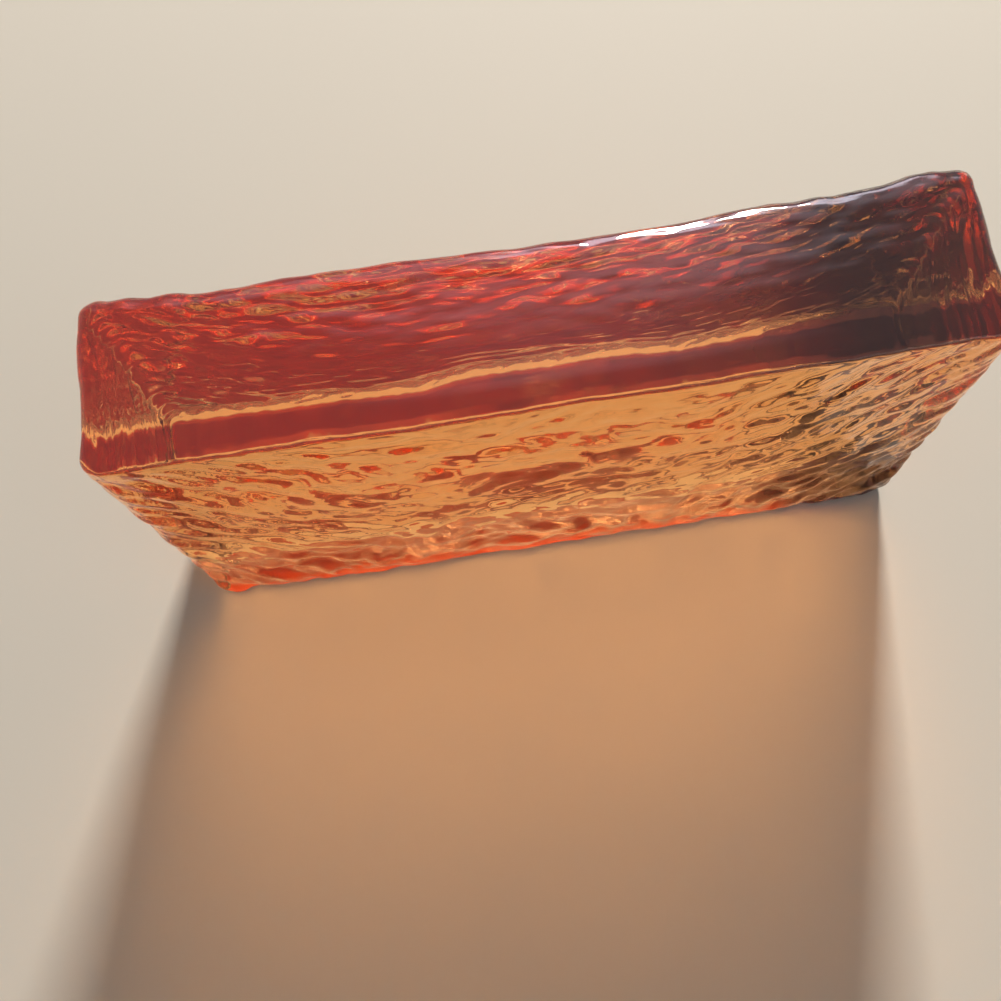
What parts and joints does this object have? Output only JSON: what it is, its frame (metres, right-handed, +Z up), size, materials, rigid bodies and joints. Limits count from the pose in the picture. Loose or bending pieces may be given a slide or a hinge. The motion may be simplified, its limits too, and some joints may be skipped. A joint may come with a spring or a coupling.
{
  "type": "glass block",
  "caption": "Solid cast glass masonry block with two water-waved large faces, sunken sides and rounded rims, standing on a long narrow face.",
  "frame": {"origin": "middle of the block's outline, on the level face it stands on", "axes": "X along the length, Y from the front large face to the back one, Z up"},
  "size_m": [0.24, 0.053, 0.115],
  "materials": {
    "amber_glass": "clear amber cast glass with a gloss fire-polished skin, ruby red through its depth"
  },
  "bodies": {
    "root": {"glass_block": "amber_glass"}
  },
  "joints": []
}
